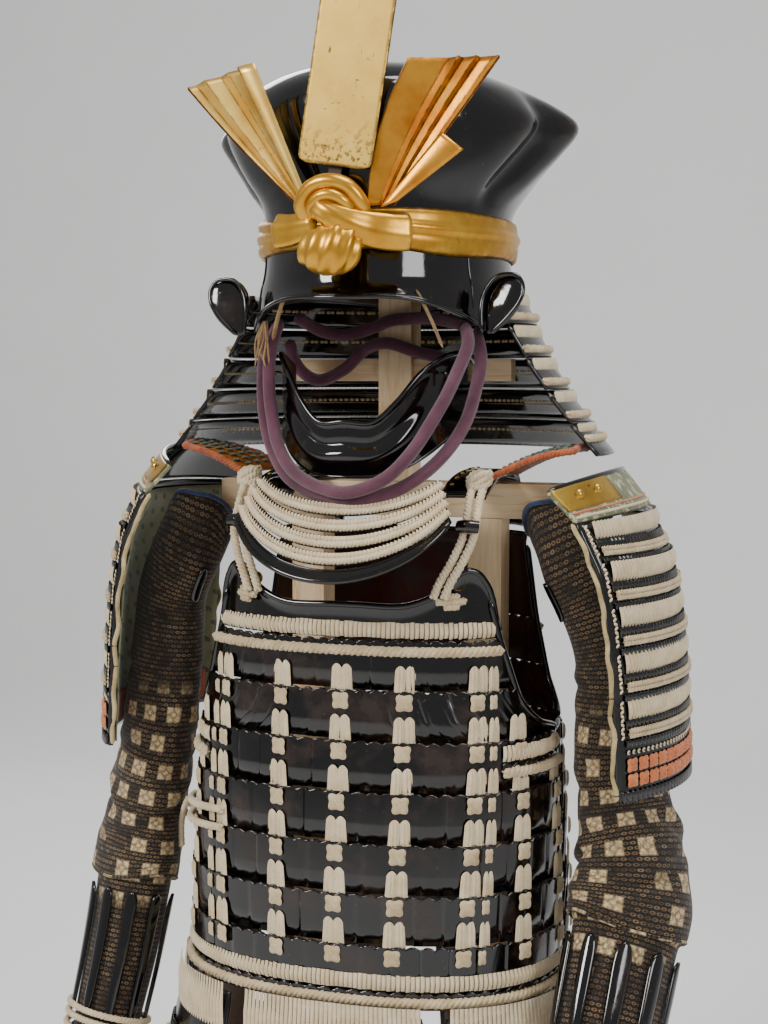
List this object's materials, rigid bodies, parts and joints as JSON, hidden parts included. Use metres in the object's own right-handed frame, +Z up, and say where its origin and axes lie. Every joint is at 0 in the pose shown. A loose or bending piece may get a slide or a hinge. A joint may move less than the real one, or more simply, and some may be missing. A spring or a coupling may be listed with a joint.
{
  "type": "samurai armour on a wooden stand",
  "caption": "Black lacquered and silk-laced samurai armour, worn hollow on a pine stand: helmet, half mask, cuirass, shoulder guards, sleeves and skirt.",
  "frame": {"origin": "centre of the underside of the stand's base, on the floor", "axes": "+Z up; the armour faces -Y; +X is the wearer's left"},
  "size_m": [0.6245, 0.4124, 1.4431],
  "materials": {
    "pine": "planed, unvarnished",
    "lacquer": "polished black lacquer",
    "gilt": "worn gold leaf",
    "crest_gilt": "matt gold leaf with dark wear",
    "iron": "dark russet iron",
    "pad_leather": "ochre leather with embroidered tufts",
    "brass": "brushed",
    "lining": "woven lining",
    "brocade": "mail-like brocade",
    "cord": "rolled cloth",
    "silk_braid": "braided silk"
  },
  "bodies": {
    "armour": {"helmet_bowl": "lacquer", "helmet_headband": "gilt", "helmet_knot": "gilt", "helmet_fan_right": "gilt", "helmet_fan_left": "gilt", "helmet_crest_tang": "iron", "helmet_turn_back_right": "lacquer", "helmet_turn_back_left": "lacquer", "neck_guard_lame_1": "lacquer", "neck_guard_lame_2": "lacquer", "neck_guard_lame_3": "lacquer", "neck_guard_lame_4": "lacquer", "neck_guard_lame_5": "lacquer", "stand_base": "pine", "stand_upright_right": "pine", "stand_upright_left": "pine", "stand_shoulder_bar": "pine", "stand_head_post": "pine", "stand_head_bar": "pine", "half_mask": "lacquer", "throat_guard_lame_1": "lacquer", "throat_guard_lame_2": "lacquer", "throat_guard_lame_3": "lacquer", "throat_guard_lame_4": "lacquer", "throat_guard_lame_5": "lacquer", "cuirass_chest_plate": "lacquer", "cuirass_lame_1": "lacquer", "cuirass_lame_2": "lacquer", "cuirass_lame_3": "lacquer", "cuirass_lame_4": "lacquer", "cuirass_lame_5": "lacquer", "cuirass_lame_6": "lacquer", "cuirass_lame_7": "lacquer", "cuirass_back": "lacquer", "shoulder_strap_right": "lacquer", "shoulder_pad_right": "pad_leather", "shoulder_strap_left": "lacquer", "shoulder_pad_left": "pad_leather", "shoulder_guard_plate_right": "brass", "shoulder_guard_right": "lacquer", "shoulder_guard_lining_right": "lining", "shoulder_guard_plate_left": "brass", "shoulder_guard_left": "lacquer", "shoulder_guard_lining_left": "lining", "sleeve_right": "brocade", "sleeve_left": "brocade", "skirt_panel_1": "lacquer", "skirt_panel_2": "lacquer", "skirt_panel_3": "lacquer", "skirt_panel_4": "lacquer", "skirt_panel_5": "lacquer", "skirt_panel_6": "lacquer", "skirt_panel_7": "lacquer", "chin_cord": "cord", "shoulder_cord_right": "silk_braid", "shoulder_cord_left": "silk_braid", "side_tie": "silk_braid"},
    "crest": {"helmet_crest": "crest_gilt"},
    "ring_left": {"shoulder_guard_ring_left": "gilt"},
    "ring_right": {"shoulder_guard_ring_right": "gilt"}
  },
  "joints": [
    {"name": "crest_slide", "type": "slide", "parent": "armour", "child": "crest", "axis": [0.1564, 0, 0.9877], "range_m": [0, 0.045]},
    {"name": "ring_left_swing", "type": "hinge", "parent": "armour", "child": "ring_left", "pos_m": [0.27237, 0.10876, 0.8], "axis": [0.9205, 0.3907, 0], "range_deg": [-80, 80]},
    {"name": "ring_right_swing", "type": "hinge", "parent": "armour", "child": "ring_right", "pos_m": [-0.26937, 0.10876, 0.818], "axis": [-0.9205, 0.3907, 0], "range_deg": [-80, 80]}
  ]
}
